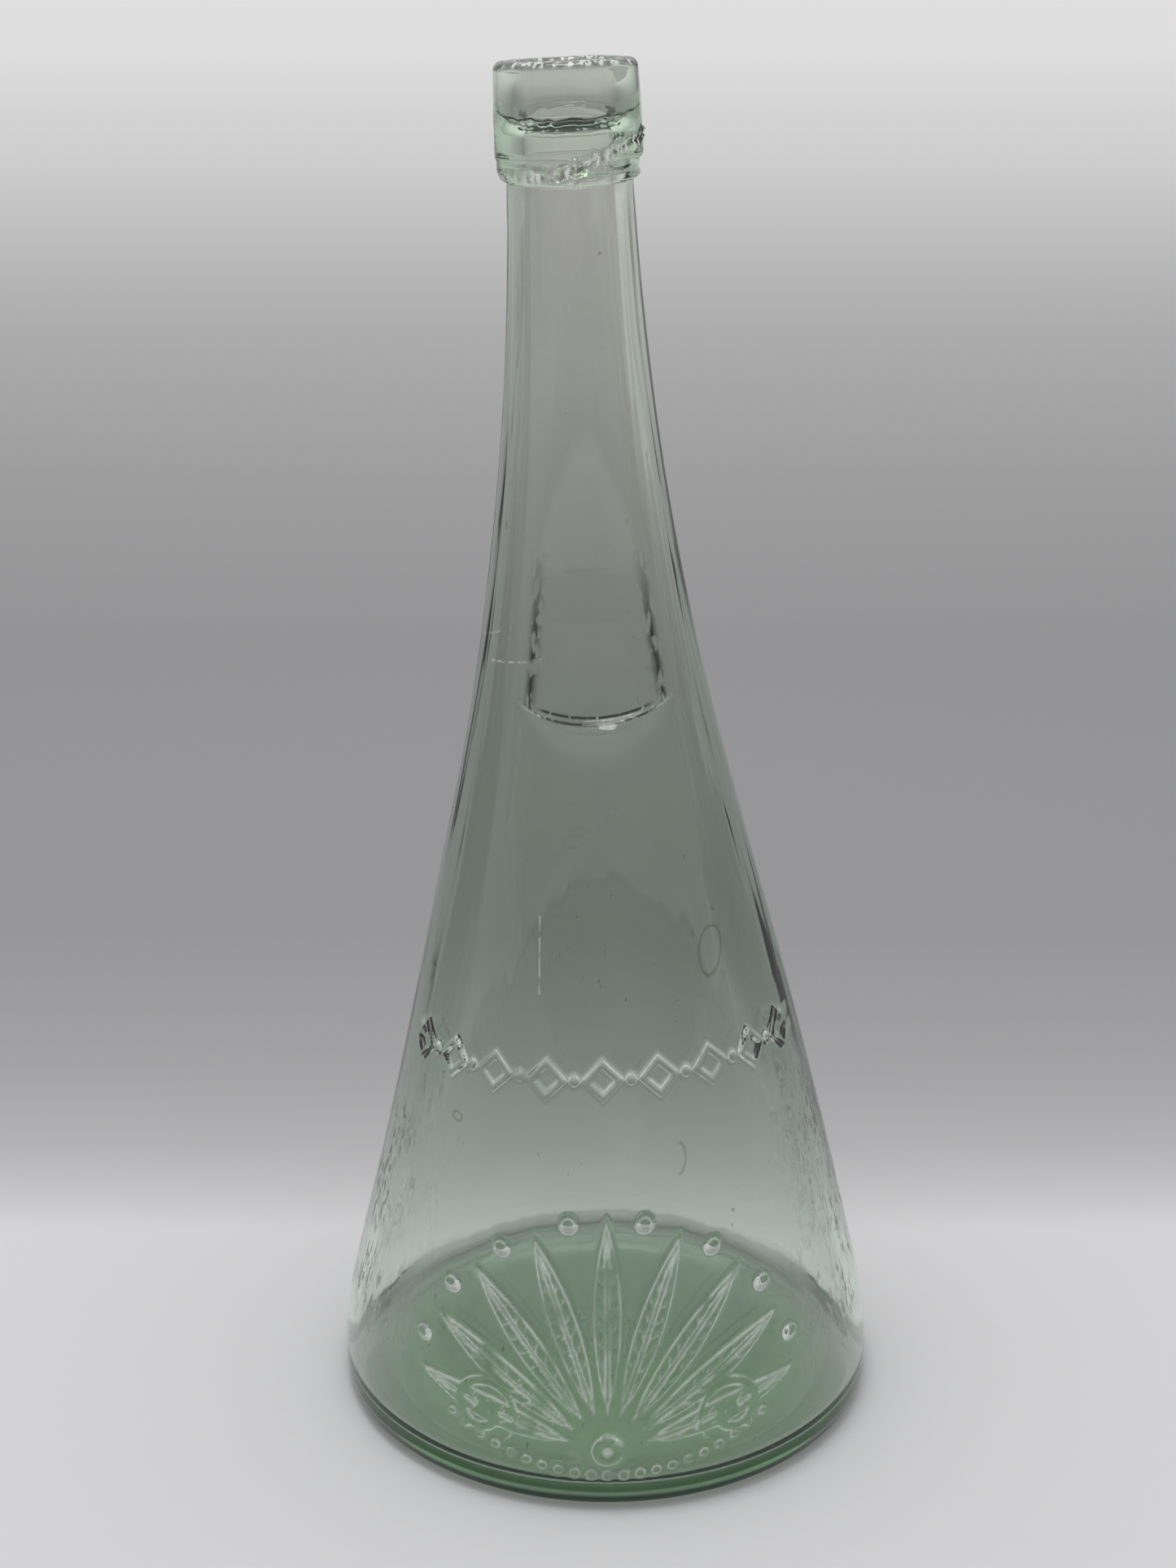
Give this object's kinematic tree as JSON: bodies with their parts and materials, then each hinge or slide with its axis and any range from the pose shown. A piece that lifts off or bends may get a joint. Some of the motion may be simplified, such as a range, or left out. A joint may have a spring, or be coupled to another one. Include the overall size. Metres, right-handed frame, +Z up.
{
  "type": "cone-shaped glass bottle",
  "caption": "Tall cone-shaped bottle of thick pale green glass, with a long leaning neck, a thumb recess, an applied lip, a raised band and a raised palmette; holds a liquid.",
  "frame": {"origin": "centre of the flat ring that the bottle stands on, at the level of the table", "axes": "+Z up through the body, -Y towards the front with the thumb recess, -X the side to which the neck leans"},
  "size_m": [0.1158, 0.1163, 0.2803],
  "materials": {
    "glass": "thick pale sea-green glass with fine upright streaks, small bubbles and light wear"
  },
  "bodies": {
    "root": {"bottle": "glass"}
  },
  "joints": []
}
